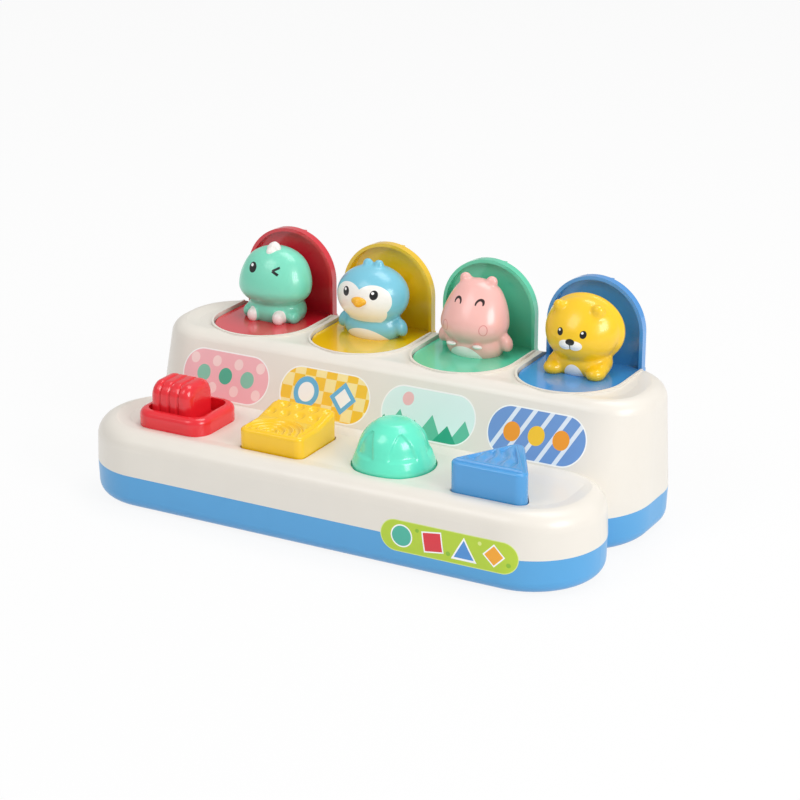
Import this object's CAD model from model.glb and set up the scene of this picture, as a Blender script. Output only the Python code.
import math

import bmesh
import bpy
from mathutils import Euler, Matrix, Vector


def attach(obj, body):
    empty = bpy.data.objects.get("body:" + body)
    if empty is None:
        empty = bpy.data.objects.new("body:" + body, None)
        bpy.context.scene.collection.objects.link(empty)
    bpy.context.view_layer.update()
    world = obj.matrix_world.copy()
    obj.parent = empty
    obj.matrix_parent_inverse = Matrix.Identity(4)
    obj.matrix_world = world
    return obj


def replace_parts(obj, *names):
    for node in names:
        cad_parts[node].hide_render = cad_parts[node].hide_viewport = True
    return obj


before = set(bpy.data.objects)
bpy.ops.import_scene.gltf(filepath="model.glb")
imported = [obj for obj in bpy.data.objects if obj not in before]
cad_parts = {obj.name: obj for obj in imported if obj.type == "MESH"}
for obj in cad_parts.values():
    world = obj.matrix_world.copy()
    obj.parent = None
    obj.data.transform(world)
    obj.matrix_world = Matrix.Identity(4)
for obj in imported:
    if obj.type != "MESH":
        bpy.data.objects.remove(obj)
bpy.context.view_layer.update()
MM = 0.001
UNIT_X = [-0.108, -0.036, 0.036, 0.108]
ANIMALS = ["dinosaur", "penguin", "hippo", "lion"]


def mm(*values):
    return Vector([value * MM for value in values])


def ink(code):
    """An sRGB hex value as the linear colour that a shader takes."""
    parts = [int(code[i:i + 2], 16) / 255 for i in (1, 3, 5)]
    return (*[p / 12.92 if p <= 0.04045 else ((p + 0.055) / 1.055) ** 2.4 for p in parts], 1)


# Materials

def add(tree, kind, links=None, **settings):
    """Adds one node, sets it and links it."""
    made = tree.nodes.new(kind)
    for key, value in settings.items():
        setattr(made, key, value)
    for key, value in (links or {}).items():
        if isinstance(value, bpy.types.NodeSocket):
            tree.links.new(value, made.inputs[key])
        else:
            made.inputs[key].default_value = value
    return made


PRINT_BLUR = 0.06  # mm on each side of a printed edge
FLAT = 1000  # stretches a mark along Y, so that depth doesn't count


def printed(tree, ground, marks, centre_x):
    """Lays plain shapes over a ground colour, one after another, on the X-Z plane of the piece.

    A mark is its form, its place and half sizes in millimetres, its turn in degrees and its colour.
    """
    place = add(tree, "ShaderNodeTexCoord").outputs["Object"]
    for form, x, z, half_x, half_z, turn, code in marks:
        spot = add(tree, "ShaderNodeMapping", {
            "Vector": place,
            "Location": (centre_x + x * MM, 0, z * MM),
            "Rotation": (0, math.radians(-turn), 0),
            "Scale": ((half_z if form == "border" else half_x) * MM, FLAT, half_z * MM),
        }, vector_type="TEXTURE").outputs[0]
        if form == "oval":
            reach = add(tree, "ShaderNodeVectorMath", {0: spot}, operation="LENGTH").outputs["Value"]
        elif form == "border":
            # Everything outside a slot shape whose straight part is half_x to each side
            sides = add(tree, "ShaderNodeSeparateXYZ", {0: spot}).outputs
            across = add(tree, "ShaderNodeMath", {0: sides["X"]}, operation="ABSOLUTE").outputs[0]
            past = add(tree, "ShaderNodeMath", {0: across, 1: half_x / half_z},
                       operation="SUBTRACT").outputs[0]
            past = add(tree, "ShaderNodeMath", {0: past, 1: 0.0}, operation="MAXIMUM").outputs[0]
            corner = add(tree, "ShaderNodeCombineXYZ", {"X": past, "Z": sides["Z"]}).outputs[0]
            from_line = add(tree, "ShaderNodeVectorMath", {0: corner}, operation="LENGTH").outputs["Value"]
            reach = add(tree, "ShaderNodeMath", {0: 2.0, 1: from_line}, operation="SUBTRACT").outputs[0]
        else:
            sides = add(tree, "ShaderNodeSeparateXYZ", {0: spot}).outputs
            across = add(tree, "ShaderNodeMath", {0: sides["X"]}, operation="ABSOLUTE").outputs[0]
            first = across
            second = add(tree, "ShaderNodeMath", {0: sides["Z"]}, operation="ABSOLUTE").outputs[0]
            if form == "triangle":
                first = add(tree, "ShaderNodeMath", {0: across, 1: 2.0, 2: sides["Z"]},
                            operation="MULTIPLY_ADD").outputs[0]
                second = add(tree, "ShaderNodeMath", {0: sides["Z"], 1: -1.0},
                             operation="MULTIPLY").outputs[0]
            reach = add(tree, "ShaderNodeMath", {0: first, 1: second}, operation="MAXIMUM").outputs[0]
        soft = PRINT_BLUR / min(half_x, half_z)
        inside = add(tree, "ShaderNodeMapRange", {"Value": reach, "From Min": 1 + soft, "From Max": 1 - soft})
        ground = add(tree, "ShaderNodeMix", {0: inside.outputs[0], "A": ground, "B": ink(code)},
                     data_type="RGBA")
        ground = ground.outputs["Result"]
    return ground


PLASTIC_IOR = 1.53
COAT_ROUGHNESS = 0.08
FLOW_SCALE = 45.0  # flow marks about 22 mm apart
SHADE_SWING = 0.025
SHEEN_SWING = 0.04


def moulded(name, code, roughness, coat=0.0, grain=0.6, depth=0.02, marks=(), centre_x=0.0, ground=None):
    """Plastic from a steel mould: even colour, faint flow marks, a skin that shines softly.

    Grain and depth are the spacing and height of the skin's unevenness in millimetres.
    """
    material = bpy.data.materials.new(name)
    material.use_nodes = True
    tree = material.node_tree
    shader = tree.nodes["Principled BSDF"]
    shader.inputs["IOR"].default_value = PLASTIC_IOR
    shader.inputs["Coat Weight"].default_value = coat
    shader.inputs["Coat Roughness"].default_value = COAT_ROUGHNESS
    place = add(tree, "ShaderNodeTexCoord").outputs["Object"]
    flow = add(tree, "ShaderNodeTexNoise", {"Vector": place, "Scale": FLOW_SCALE, "Detail": 2.0})
    shade = add(tree, "ShaderNodeMapRange", {"Value": flow.outputs["Fac"], "To Min": 1 - SHADE_SWING,
                                             "To Max": 1 + SHADE_SWING})
    colour = ground(tree) if ground else ink(code)
    if marks:
        colour = printed(tree, colour, marks, centre_x)
    tinted = add(tree, "ShaderNodeVectorMath", {1: shade.outputs[0]}, operation="MULTIPLY")
    if isinstance(colour, bpy.types.NodeSocket):
        tree.links.new(colour, tinted.inputs[0])
    else:
        tinted.inputs[0].default_value = colour[:3]
    tree.links.new(tinted.outputs[0], shader.inputs["Base Color"])
    skin = add(tree, "ShaderNodeTexNoise", {"Vector": place, "Scale": 1000 / grain, "Detail": 3.0})
    sheen = add(tree, "ShaderNodeMapRange", {"Value": skin.outputs["Fac"], "To Min": roughness - SHEEN_SWING,
                                             "To Max": roughness + SHEEN_SWING})
    tree.links.new(sheen.outputs[0], shader.inputs["Roughness"])
    relief = add(tree, "ShaderNodeBump", {"Strength": 0.25, "Distance": depth * MM,
                                          "Height": skin.outputs["Fac"]})
    tree.links.new(relief.outputs[0], shader.inputs["Normal"])
    return material


SCRATCH_SCALE = 2500.0  # scratches about 0.4 mm apart
SCRATCH_SWING = 0.08


def metal(name, code, roughness):
    """Zinc plated or drawn steel: bright, with fine scratches that spread the shine."""
    material = bpy.data.materials.new(name)
    material.use_nodes = True
    tree = material.node_tree
    shader = tree.nodes["Principled BSDF"]
    shader.inputs["Metallic"].default_value = 1
    shader.inputs["Base Color"].default_value = ink(code)
    place = add(tree, "ShaderNodeTexCoord").outputs["Object"]
    scratches = add(tree, "ShaderNodeTexNoise", {"Vector": place, "Scale": SCRATCH_SCALE, "Detail": 2.0})
    sheen = add(tree, "ShaderNodeMapRange", {"Value": scratches.outputs["Fac"],
                                             "To Min": roughness - SCRATCH_SWING,
                                             "To Max": roughness + SCRATCH_SWING})
    tree.links.new(sheen.outputs[0], shader.inputs["Roughness"])
    return material


# Cover and tray: ABS with a satin skin, wide soft highlights
body_white = moulded("satin_white_abs", "#EAE4DA", 0.36, coat=0.15)
tray_blue = moulded("satin_blue_abs", "#54A5DD", 0.36, coat=0.1)
# Controls: polished ABS, small clear highlights on the edges
red = moulded("glossy_red_abs", "#EA2430", 0.24, coat=0.35)
yellow = moulded("glossy_yellow_abs", "#FCC912", 0.24, coat=0.35)
mint = moulded("glossy_mint_abs", "#66EBC8", 0.24, coat=0.35)
blue = moulded("glossy_blue_abs", "#4C9EDC", 0.24, coat=0.35)
# Lids: the glossiest ABS, which mirrors the figures and the sky
lid_red = moulded("glossy_lid_red_abs", "#DC2333", 0.16, coat=0.6)
lid_yellow = moulded("glossy_lid_yellow_abs", "#F3C612", 0.16, coat=0.6)
lid_mint = moulded("glossy_lid_mint_abs", "#5DD3AC", 0.16, coat=0.6)
lid_blue = moulded("glossy_lid_blue_abs", "#4495DC", 0.16, coat=0.6)
# Inner parts and trim: dull acetal, plain white plastic, plated screws and bare spring wire
grey = moulded("inner_grey_acetal", "#C9C9C6", 0.45)
white_trim = moulded("white_plastic", "#F6F2EC", 0.35, coat=0.2)
zinc = metal("zinc_plated_steel", "#B9BBBD", 0.32)
wire = metal("spring_steel_wire", "#8F9193", 0.28)


def dress(node_name, material):
    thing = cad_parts[node_name]
    thing.data.materials.clear()
    thing.data.materials.append(material)


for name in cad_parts:
    if "screw" in name or name in ("hinge_rod", "rocker_pin"):
        dress(name, zinc)
    elif "spring" in name:
        dress(name, wire)
    elif "lever" in name or name in ("rod_clamps", "slider_keeper"):
        dress(name, grey)
for name, material in [("upper_shell", body_white), ("lower_tray", tray_blue), ("slider_bezel", red),
                       ("slider_block", red), ("rocker_key", yellow), ("dial_knob", mint),
                       ("triangle_button", blue)]:
    dress(name, material)
for animal, material in zip(ANIMALS, [lid_red, lid_yellow, lid_mint, lid_blue]):
    dress("flap_" + animal, material)

# Labels: printed film, whose flat sheen sets it off from the moulded cover
CREAM, PALE_PINK, SKY, SUN = "#FBFAF7", "#F9D9D6", "#67B5DF", "#F59B1B"
LABEL_Z = 64.6
CHECK_SIZE = 7.4
FRONT_X, FRONT_Z = 93.8, 23.3


def disc(x, z, radius, code):
    return ("oval", x, z, radius, radius, 0, code)


def diamond(x, z, half, code):
    return ("bar", x, z, half, half, 45, code)


def checks(tree):
    place = add(tree, "ShaderNodeTexCoord").outputs["Object"]
    flat = add(tree, "ShaderNodeVectorMath", {0: place, 1: (1, 0, 1)}, operation="MULTIPLY").outputs[0]
    squares = add(tree, "ShaderNodeTexChecker", {"Vector": flat, "Color1": ink("#F8C62C"),
                                                "Color2": ink("#FCE9A2"), "Scale": 1000 / CHECK_SIZE})
    return squares.outputs["Color"]


label_marks = {
    "dinosaur": [*[disc(x, z, 3.2, PALE_PINK) for x in (-24, -8, 8, 24) for z in (56.8, 72.4)],
                 disc(-16, LABEL_Z, 4.8, "#86C6AD"), disc(0, LABEL_Z, 4.8, "#4DB192"),
                 disc(16, LABEL_Z, 4.8, "#86C6AD")],
    "penguin": [disc(-13, LABEL_Z, 8.8, SKY), disc(-13, LABEL_Z, 5.6, CREAM),
                diamond(13, LABEL_Z, 6.6, SKY), diamond(13, LABEL_Z, 4.0, CREAM)],
    "hippo": [disc(-15, 71.6, 3.8, "#F3BDBC"),
              *[("triangle", x, 57.6, 10, 7.6, 0, "#5CBF9F") for x in (-19, 3, 25)],
              *[("triangle", x, 55.4, 9, 5.4, 0, "#1FA27F") for x in (-29, -8, 14)]],
    "lion": [*[("bar", x, LABEL_Z, 24, 1.3, 60, "#E3ECF7") for x in (-22, -11, 0, 11, 22)],
             disc(-16, LABEL_Z, 5.4, SUN), disc(0, LABEL_Z, 5.4, "#FBC824"), disc(16, LABEL_Z, 5.4, SUN)],
}
label_grounds = {"dinosaur": "#F4B7BD", "penguin": "#F8CF24", "hippo": "#DDF2EE", "lion": "#6A97D3"}
for index, animal in enumerate(ANIMALS):
    film = moulded("printed_film_" + animal, label_grounds[animal], 0.4, coat=0.15, grain=0.4, depth=0.004,
                   marks=[*label_marks[animal], ("border", 0, LABEL_Z, 17.8, 13.4, 0, CREAM)],
                   centre_x=UNIT_X[index], ground=checks if animal == "penguin" else None)
    dress("label_" + animal, film)
front_marks = [
    disc(-30, FRONT_Z, 7, "#FFFFFF"), disc(-30, FRONT_Z, 6.2, "#49B7A0"),
    ("bar", -10, FRONT_Z, 6.4, 6.4, 8, "#FFFFFF"), ("bar", -10, FRONT_Z, 5.6, 5.6, 8, "#E0303E"),
    ("triangle", 10, FRONT_Z, 8.2, 7.2, 0, "#FFFFFF"), ("triangle", 10, 23.0, 6.4, 5.6, 0, "#4C90D6"),
    diamond(29, FRONT_Z, 5.0, "#FFFFFF"), diamond(29, FRONT_Z, 4.2, "#F7A823"),
    disc(-20, 28.5, 1.2, "#8CBF2B"), disc(0, 18.5, 1.4, "#8CBF2B"),
    disc(20, 29, 1.2, "#DDEB8A"), disc(38, 19, 1.4, "#8CBF2B"),
    ("border", 0, 23.0, 34.0, 9.3, 0, "#DDEB8A")]
dress("label_front", moulded("printed_film_front", "#B8D433", 0.4, coat=0.15, grain=0.4, depth=0.004,
                             marks=front_marks, centre_x=FRONT_X * MM))


# Figures

SHARP_EDGE = math.radians(50)


def new_piece(name, shape, material, body):
    """Makes a smooth-shaded piece of a mesh under construction and lets it ride a body."""
    mesh = bpy.data.meshes.new(name)
    shape.to_mesh(mesh)
    shape.free()
    piece = bpy.data.objects.new(name, mesh)
    bpy.context.scene.collection.objects.link(piece)
    piece.data.materials.append(material)
    for face in piece.data.polygons:
        face.use_smooth = True
    piece.data.set_sharp_from_angle(angle=SHARP_EDGE)
    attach(piece, body)
    return piece


def lump(shape, centre, radii, turn=(0, 0, 0)):
    """Adds one rounded lump to a mesh under construction."""
    made = bmesh.ops.create_icosphere(shape, subdivisions=4, radius=1.0)["verts"]
    turned = Euler([math.radians(angle) for angle in turn]).to_matrix().to_4x4()
    place = Matrix.Translation(centre) @ turned @ Matrix.Diagonal((*radii, 1))
    bmesh.ops.transform(shape, matrix=place, verts=made)


PAN_TOP = 86.4
LID_FACE = 80.6


def sculpt(name, unit, lumps, material, cell, smoothing):
    """Melts the lumps into one moulding, as a tool maker rounds the joints of a figure.

    The moulding ends in a flat foot on the lid's pan and a flat back against the lid.
    """
    shape = bmesh.new()
    for centre, radii, *turn in lumps:
        lump(shape, mm(*centre) + Vector((UNIT_X[unit], 0, 0)), mm(*radii), turn[0] if turn else (0, 0, 0))
    rough = bpy.data.meshes.new(name + "_draft")
    shape.to_mesh(rough)
    shape.free()
    draft = bpy.data.objects.new(name + "_draft", rough)
    bpy.context.scene.collection.objects.link(draft)
    melt = draft.modifiers.new("melt", "REMESH")
    melt.mode = "VOXEL"
    melt.voxel_size = cell * MM
    ease = draft.modifiers.new("ease", "SMOOTH")
    ease.factor = 0.5
    ease.iterations = smoothing
    melted = bpy.data.meshes.new_from_object(draft.evaluated_get(bpy.context.evaluated_depsgraph_get()))
    trimmed = bmesh.new()
    trimmed.from_mesh(melted)
    bpy.data.objects.remove(draft)
    bpy.data.meshes.remove(rough)
    bpy.data.meshes.remove(melted)
    for point, normal in [((0, 0, PAN_TOP), (0, 0, -1)), ((0, LID_FACE, 0), (0, 1, 0))]:
        whole = trimmed.verts[:] + trimmed.edges[:] + trimmed.faces[:]
        cut = bmesh.ops.bisect_plane(trimmed, geom=whole, plane_co=mm(*point), plane_no=normal,
                                     clear_outer=True)
        rim = [item for item in cut["geom_cut"] if isinstance(item, bmesh.types.BMEdge)]
        if rim:
            bmesh.ops.edgenet_fill(trimmed, edges=rim)
    return new_piece(name, trimmed, material, f"popup_{unit + 1}")


def both(x, y, z, radii):
    return [((-x, y, z), radii), ((x, y, z), radii)]


MIDDLE_SWELL = 0.8


def run(first, last, count=9):
    """Lumps that pass evenly from one to another, so that the skin over them has no steps."""
    made = []
    for step in range(count):
        share = step / (count - 1)
        swell = 4 * MIDDLE_SWELL * share * (1 - share)
        centre = [a + (b - a) * share for a, b in zip(first[0], last[0])]
        made.append((centre, [a + (b - a) * share + swell for a, b in zip(first[1], last[1])]))
    return made


PUPIL, BELLY_WHITE, PAW_WHITE = "#050505", "#FBF8F2", "#FAEFEB"
SKY_BLUE, HIPPO_PINK, SMILE, NOSTRIL_RIM = "#7CC8DE", "#F9BDB5", "#2A1A1A", "#E58F8B"


def eye_marks(x, z, half_x, half_z):
    """An open eye with a glint at its upper left."""
    return [("oval", x, z, half_x, half_z, 0, PUPIL),
            ("oval", x - 0.28 * half_x, z + 0.4 * half_z, 0.36 * half_x, 0.28 * half_z, 0, "#FFFFFF")]


def smile_marks(x, z):
    """A shut, smiling eye: an oval whose middle and lower half are covered again."""
    return [("oval", x, z, 2.7, 2.7, 0, SMILE), ("oval", x, z - 0.9, 1.7, 2.2, 0, HIPPO_PINK),
            ("bar", x, z - 2.1, 3.0, 1.0, 0, HIPPO_PINK)]


def nostril_marks(x, z):
    return [("oval", x, z, 2.4, 3.5, 0, NOSTRIL_RIM), ("oval", x, z, 1.9, 3.0, 0, "#F8BEB7")]


figure_lumps = {
    "dinosaur": [*run(((0, 61, 116.4), (22.8, 16.8, 17.0)), ((0, 58.6, 107.4), (25, 18.4, 12.8))),
                 ((0, 61, 92), (20, 16, 12.6)),
                 *both(9.4, 46.6, 90.0, (4.0, 4.6, 4.8)), *both(16.6, 54.5, 90.0, (3.8, 6.4, 4.8))],
    "penguin": [((0, 59, 112.8), (23.7, 19.6, 19.0)), ((0, 60, 92.5), (20, 14.6, 12)),
                *both(3.9, 59.5, 132.4, (3.4, 3.0, 3.2)),
                ((-20.0, 58.5, 94), (4.0, 4.8, 6.2), (0, 25, 0)),
                ((20.0, 58.5, 94), (4.0, 4.8, 6.2), (0, -25, 0))],
    "hippo": [*run(((0, 62.5, 119.4), (17.2, 13.0, 13.4)), ((0, 58.5, 106.3), (21.9, 18.8, 14.4))),
              ((0, 60, 92.5), (19.3, 15.1, 12.6)),
              *both(9.0, 63.2, 131.6, (4.0, 3.2, 3.9)),
              ((-20.8, 59.5, 95.5), (4.2, 4.8, 6.2), (0, 25, 0)),
              ((20.8, 59.5, 95.5), (4.2, 4.8, 6.2), (0, -25, 0))],
    "lion": [((0, 64.5, 112.3), (25.6, 9.4, 21.8)),
             *run(((0, 60.0, 113.0), (23.8, 13.0, 20.0)), ((0, 55.8, 109.4), (20.6, 15.4, 16.2))),
             ((0, 60, 93), (19.5, 14, 11.6)), *both(3.0, 42.6, 108.3, (4.6, 3.0, 3.9)),
             *both(12.6, 53.4, 127.4, (4.3, 3.4, 4.1)), *both(13.8, 49.6, 89.6, (6.4, 7.2, 4.7)),
             *both(16.0, 55.0, 91.6, (4.2, 6.0, 4.6))],
}
# Vinyl skins, painted: softer than the ABS, with a thin clear coat over paint and eyes
skins = {
    "dinosaur": ("satin_mint_vinyl", "#7FDFC2", [
        *eye_marks(-8.7, 121.7, 3.1, 3.1),
        ("bar", 8.3, 122.5, 2.4, 0.75, 28, PUPIL), ("bar", 8.3, 120.3, 2.4, 0.75, -28, PUPIL),
        ("oval", -9.6, 90.4, 3.9, 4.8, 0, PAW_WHITE), ("oval", 9.8, 90.4, 3.9, 4.8, 0, PAW_WHITE)]),
    "penguin": ("satin_sky_vinyl", SKY_BLUE, [
        ("oval", -8.2, 113.3, 11.3, 10.2, 0, BELLY_WHITE), ("oval", 8.2, 113.3, 11.3, 10.2, 0, BELLY_WHITE),
        ("oval", 0, 107, 16.6, 11.6, 0, BELLY_WHITE), ("bar", 0, 96.6, 22, 1.8, 0, SKY_BLUE),
        ("oval", 0, 84, 15, 9.7, 0, BELLY_WHITE),
        *eye_marks(-9.8, 117.8, 2.5, 2.9), *eye_marks(9.8, 117.8, 2.5, 2.9)]),
    "hippo": ("satin_pink_vinyl", HIPPO_PINK, [
        *smile_marks(-6.4, 121.4), *smile_marks(8.0, 121.4),
        *nostril_marks(-12.6, 106.4), *nostril_marks(13.0, 106.4),
        ("oval", -1, 84, 11.4, 9.7, 0, BELLY_WHITE)]),
    "lion": ("satin_yellow_vinyl", "#FCCB1A", [
        *eye_marks(-6.9, 115.0, 2.0, 2.3), *eye_marks(7.9, 115.0, 2.0, 2.3),
        ("oval", -2.6, 107.9, 4.3, 3.0, 0, BELLY_WHITE), ("oval", 3.6, 107.9, 4.3, 3.0, 0, BELLY_WHITE),
        ("bar", 0.6, 107.4, 0.3, 2.2, 0, PUPIL), ("oval", 0.6, 110.0, 2.9, 1.9, 0, PUPIL),
        ("oval", 0, 85, 6.4, 9, 0, BELLY_WHITE)]),
}
for index, animal in enumerate(ANIMALS):
    material_name, code, marks = skins[animal]
    skin = moulded(material_name, code, 0.3, coat=0.3, marks=marks, centre_x=UNIT_X[index])
    figure = sculpt("figure_" + animal + "_skin", index, figure_lumps[animal], skin, cell=0.7, smoothing=26)
    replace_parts(figure, "figure_" + animal)

beak_yellow = moulded("beak_yellow_vinyl", "#F6B41F", 0.32, coat=0.3)
sculpt("penguin_beak", 1, [((0.4, 40.6, 113.2), (5.4, 3.8, 3.0)), ((0.4, 40.2, 112.2), (3.4, 4.0, 2.8))],
       beak_yellow, cell=0.35, smoothing=3)
crest_lumps = [*run(((0.4, 57.5, 132.4), (5.0, 3.4, 1.9)), ((0.4, 58.4, 135.6), (1.0, 1.4, 1.2)), 6),
               *run(((0.2, 56.2, 131.9), (3.6, 3.0, 2.0)), ((-0.6, 53.2, 129.8), (1.2, 1.6, 1.4)), 6)]
sculpt("dinosaur_crest", 0, crest_lumps, white_trim, cell=0.35, smoothing=4)
sculpt("hippo_teeth", 2, [((-9.0, 44.6, 94.9), (3.3, 1.8, 1.3)), ((8.6, 44.9, 94.9), (3.3, 1.8, 1.3))],
       white_trim, cell=0.3, smoothing=2)


# Relief on the controls, each on the face that the child touches

def soft_step(value, low, high):
    share = min(1.0, max(0.0, (value - low) / (high - low)))
    return share * share * (3 - 2 * share)


def sheet(name, columns, rows, place_at, material, body):
    """A relief laid over a face: a grid of points whose places a function gives in millimetres."""
    shape = bmesh.new()
    grid = [[shape.verts.new(mm(*place_at(column / columns, row / rows))) for row in range(rows + 1)]
            for column in range(columns + 1)]
    for column in range(columns):
        for row in range(rows):
            shape.faces.new([grid[column][row], grid[column + 1][row], grid[column + 1][row + 1],
                             grid[column][row + 1]])
    # A side that shrinks to a point leaves faces without area
    bmesh.ops.remove_doubles(shape, verts=shape.verts[:], dist=0.02 * MM)
    bmesh.ops.dissolve_degenerate(shape, edges=shape.edges[:], dist=0.01 * MM)
    bmesh.ops.recalc_face_normals(shape, faces=shape.faces[:])
    return new_piece(name, shape, material, body)


def button_point(across, along):
    """Wavy ridges that run from front to back inside a plain border."""
    half, front, tip, face = 22.4, -64.2, -26.8, 66.9
    ridge_height, ridge_spacing = 1.5, 8.2
    y = front + (tip - front) * along
    reach = half * (1 - along)
    x = reach * (2 * across - 1)
    border = min((reach - abs(x)) * 0.86, y - front)
    inside = soft_step(border, 1.6, 2.6)
    phase = x + 0.32 * (y - front) + 1.3 * math.sin((y - front) / 3.4)
    wave = 0.5 + 0.5 * math.sin(2 * math.pi * phase / ridge_spacing)
    return 108 + x, y, face + ridge_height * soft_step(border, 0, 0.9) * (1 - inside + inside * wave)


def key_point(across, along):
    """Rings on the low half of the key and round dimples on its high half."""
    half, front, back, fold = 18.9, -64.6, -25.9, -46
    x = half * (2 * across - 1)
    y = front + (back - front) * along
    base = 61.1 + max(0.0, y + 45.2) * 5.2 / 21.8
    edge = soft_step(min(half - abs(x), y - front, back - y), 0, 1.2)
    ring_spacing, ring_width, relief_height = 4.6, 0.23, 1.5
    ring = math.hypot(x, y + 65.5)
    from_crest = (ring / ring_spacing + 0.5) % 1 - 0.5
    rings = max(math.exp(-(from_crest / ring_width) ** 2), soft_step(ring, 18.6, 20.2),
                soft_step(y, -47.2, fold))
    dimple = 1.0
    for row, shift in enumerate((0, 5.0)):
        for column in range(4):
            reach = math.hypot(x - (-15.5 + shift + 10.0 * column), y - (-39.2 + 8.6 * row))
            dimple = min(dimple, soft_step(reach, 1.2, 3.9))
    return -36 + x, y, base + relief_height * edge * (rings if y < fold else 0.1 + 0.9 * dimple)


sheet("button_waves", 112, 72, button_point, blue, "button")
sheet("key_relief", 126, 126, key_point, yellow, "rocker")


def dome():
    """The dial with five pointed recesses round it, hollow over its post like the solid one."""
    centre_x, centre_y, steps, petals = 36, -44, 180, 5
    petal_low, petal_height, petal_turn, petal_half, petal_depth = 57.0, 14.5, 47, 25, 1.3
    # Radius and height, from the bore over the post round the hollow to the foot of the skirt
    inside = [(0, 51), (2.05, 51), (2.05, 39), (7, 39), (7, 41), (4.2, 43), (4.2, 71.6), (8.4, 71.6),
              (19.2, 60), (22, 46.2), (22, 44.2), (27.5, 44.2), (27.5, 45.9), (24.3, 45.9)]
    outside = [(24.6, 48.4), (24.7, 50.0), (24.3, 51.8), (23.6, 53.6), (22.9, 55.4), (22.2, 57.2),
               (21.7, 58.8), (21.1, 60.5), (20.6, 62.2), (20.0, 63.9), (19.2, 65.6), (18.3, 67.2),
               (17.2, 68.7), (15.9, 70.2), (14.5, 71.6), (12.8, 72.9), (11.4, 73.9), (10.4, 74.7),
               (9.2, 75.2), (7.5, 75.5), (4, 75.9), (0, 76)]
    profile = [(*point, False) for point in inside]
    for (r_low, z_low), (r_high, z_high) in zip(outside, outside[1:]):
        profile += [(r_low, z_low, True), ((r_low + r_high) / 2, (z_low + z_high) / 2, True)]
    profile.append((*outside[-1], True))
    shape = bmesh.new()
    rings = []
    for radius, z, outer in profile:
        rise = (z - petal_low) / petal_height
        half = petal_half * math.sqrt(max(0.0, 1 - max(0.0, rise) ** 1.5))
        ring = []
        for step in range(1 if radius == 0 else steps):
            turn = 2 * math.pi * step / steps
            spacing = 360 / petals
            off_petal = abs((math.degrees(turn) + petal_turn + spacing / 2) % spacing - spacing / 2)
            sink = 0.0
            if outer and radius > 15 and z > 56 and rise < 1:
                sink = petal_depth * soft_step(half - off_petal, 0, 4) * soft_step(z, 56.4, 58.0)
            reach = radius - sink
            ring.append(shape.verts.new(mm(centre_x + reach * math.cos(turn),
                                           centre_y + reach * math.sin(turn), z)))
        rings.append(ring)
    for low, high in zip(rings, rings[1:]):
        for step in range(steps):
            corners = [low[step % len(low)], low[(step + 1) % len(low)], high[(step + 1) % len(high)],
                       high[step % len(high)]]
            shape.faces.new(list(dict.fromkeys(corners)))
    # The crank pin under the dial
    pin_radius, pin_length = 1.2 * MM, 7.5 * MM
    pin = bmesh.ops.create_cone(shape, cap_ends=True, segments=24, radius1=pin_radius, radius2=pin_radius,
                                depth=pin_length)["verts"]
    bmesh.ops.translate(shape, verts=pin, vec=mm(centre_x, -48.6, 35.75))
    bmesh.ops.recalc_face_normals(shape, faces=shape.faces[:])
    return new_piece("dial_dome", shape, mint, "dial")


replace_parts(dome(), "dial_knob")


def loaf():
    """The slider's grip: a rounded loaf with three finger grooves and its stem."""
    left, right, round_end, count = -127.8, -98.2, 5.6, 148
    centre_y, half_depth, crown, foot, shoulder = -44, 14, 75.2, 51.6, 8.6
    grooves, groove_depth, groove_width = (-119.9, -113.4, -106.9), 1.1, 0.8
    shape = bmesh.new()
    rings = []
    for step in range(count + 1):
        x = left + (right - left) * 0.5 * (1 - math.cos(math.pi * step / count))
        short = min(x - left, right - x)
        inset = round_end - math.sqrt(max(0.0, round_end ** 2 - max(0.0, round_end - short) ** 2))
        for groove in grooves:
            inset += groove_depth * math.exp(-((x - groove) / groove_width) ** 2)
        half, top, corner = half_depth - inset, crown - inset, shoulder - 0.4 * inset
        ring = [shape.verts.new(mm(x, centre_y - half, foot))]
        for side, start in ((-1, 180), (1, 90)):
            for turn in range(0, 91, 6):
                angle = math.radians(start - turn)
                y = centre_y + side * (half - corner) + corner * math.cos(angle)
                ring.append(shape.verts.new(mm(x, y, top - corner + corner * math.sin(angle))))
        ring.append(shape.verts.new(mm(x, centre_y + half, foot)))
        rings.append(ring)
    for low_ring, high_ring in zip(rings, rings[1:]):
        for step in range(len(low_ring)):
            after = (step + 1) % len(low_ring)
            shape.faces.new([low_ring[step], low_ring[after], high_ring[after], high_ring[step]])
    shape.faces.new(rings[0])
    shape.faces.new(rings[-1][::-1])
    stem = bmesh.ops.create_cube(shape, size=1.0)["verts"]
    stem_place = Matrix.Translation(mm(-113.5, centre_y, 49.2)) @ Matrix.Diagonal((*mm(16, 6, 6.6), 1))
    bmesh.ops.transform(shape, matrix=stem_place, verts=stem)
    bmesh.ops.recalc_face_normals(shape, faces=shape.faces[:])
    return new_piece("slider_loaf", shape, red, "slider")


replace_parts(loaf(), "slider_block")


# Room, light and camera
floor_shape = bmesh.new()
bmesh.ops.create_grid(floor_shape, x_segments=1, y_segments=1, size=6)
floor_mesh = bpy.data.meshes.new("table")
floor_shape.to_mesh(floor_mesh)
floor = bpy.data.objects.new("table", floor_mesh)
bpy.context.scene.collection.objects.link(floor)
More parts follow.
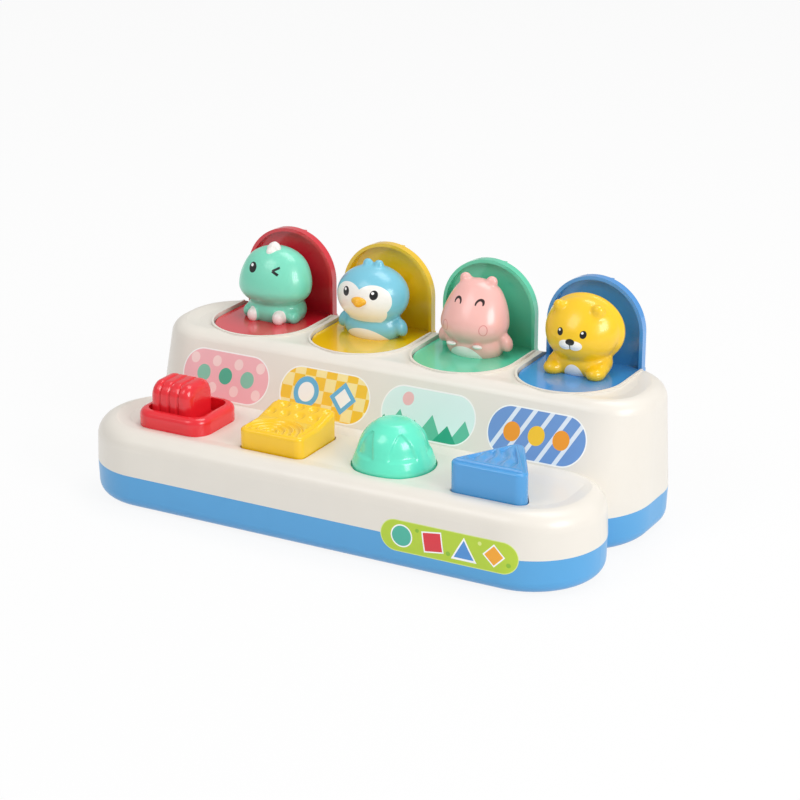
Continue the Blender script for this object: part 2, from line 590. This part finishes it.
# Paper that is lit like paper, and whose white is kept for the camera and in mirror images
PAPER_GREY, PAPER_GLOW, SKY_LIGHT = 0.86, 0.9, 0.5
paper = bpy.data.materials.new("white_paper_backdrop")
paper.use_nodes = True
paper_tree = paper.node_tree
paper_tree.nodes.clear()
out = add(paper_tree, "ShaderNodeOutputMaterial")
rays = add(paper_tree, "ShaderNodeLightPath")
plain = add(paper_tree, "ShaderNodeBsdfDiffuse", {"Color": (PAPER_GREY, PAPER_GREY, PAPER_GREY, 1)})
bright = add(paper_tree, "ShaderNodeEmission", {"Color": (1, 1, 1, 1), "Strength": 1.0})
seen = add(paper_tree, "ShaderNodeMath", {0: rays.outputs["Is Camera Ray"],
                                          1: rays.outputs["Is Glossy Ray"]}, operation="MAXIMUM")
share = add(paper_tree, "ShaderNodeMath", {0: seen.outputs[0], 1: PAPER_GLOW}, operation="MULTIPLY")
blend = add(paper_tree, "ShaderNodeMixShader", {0: share.outputs[0], 1: plain.outputs[0],
                                                2: bright.outputs[0]})
paper_tree.links.new(blend.outputs[0], out.inputs[0])
floor.data.materials.append(paper)

world = bpy.data.worlds.new("studio")
bpy.context.scene.world = world
world.use_nodes = True
world.node_tree.nodes["Background"].inputs["Color"].default_value = (1, 1, 1, 1)
world.node_tree.nodes["Background"].inputs["Strength"].default_value = SKY_LIGHT


def softbox(name, place, aim, size, power):
    """A rectangular lamp that faces a point; places and sizes in metres, power in watts."""
    lamp = bpy.data.lights.new(name, "AREA")
    lamp.shape = "RECTANGLE"
    lamp.size, lamp.size_y = size
    lamp.energy = power
    thing = bpy.data.objects.new(name, lamp)
    thing.location = place
    thing.rotation_euler = (Vector(aim) - Vector(place)).to_track_quat("-Z", "Y").to_euler()
    bpy.context.scene.collection.objects.link(thing)


softbox("key_light", (-0.7, -1.3, 1.7), (0, 0, 0.06), (0.9, 0.9), 8.5)
softbox("side_light", (1.5, -0.5, 0.9), (0.1, 0, 0.06), (0.7, 0.7), 13.5)
softbox("top_light", (0.2, 0.5, 1.8), (0, 0, 0.06), (1.2, 0.7), 10)

camera = bpy.data.objects.new("camera", bpy.data.cameras.new("camera"))
bpy.context.scene.collection.objects.link(camera)
camera.data.lens = 107.85  # with a 36 mm sensor, as fitted to the photograph
camera.data.sensor_width = 36
camera.data.clip_end = 20
azimuth, elevation = math.radians(28.89), math.radians(20.19)
camera.location = mm(671.04, -1187.63, 568.77)
camera.rotation_euler = (math.pi / 2 - elevation, 0, azimuth)
bpy.context.scene.camera = camera
bpy.context.scene.view_settings.view_transform = "Standard"
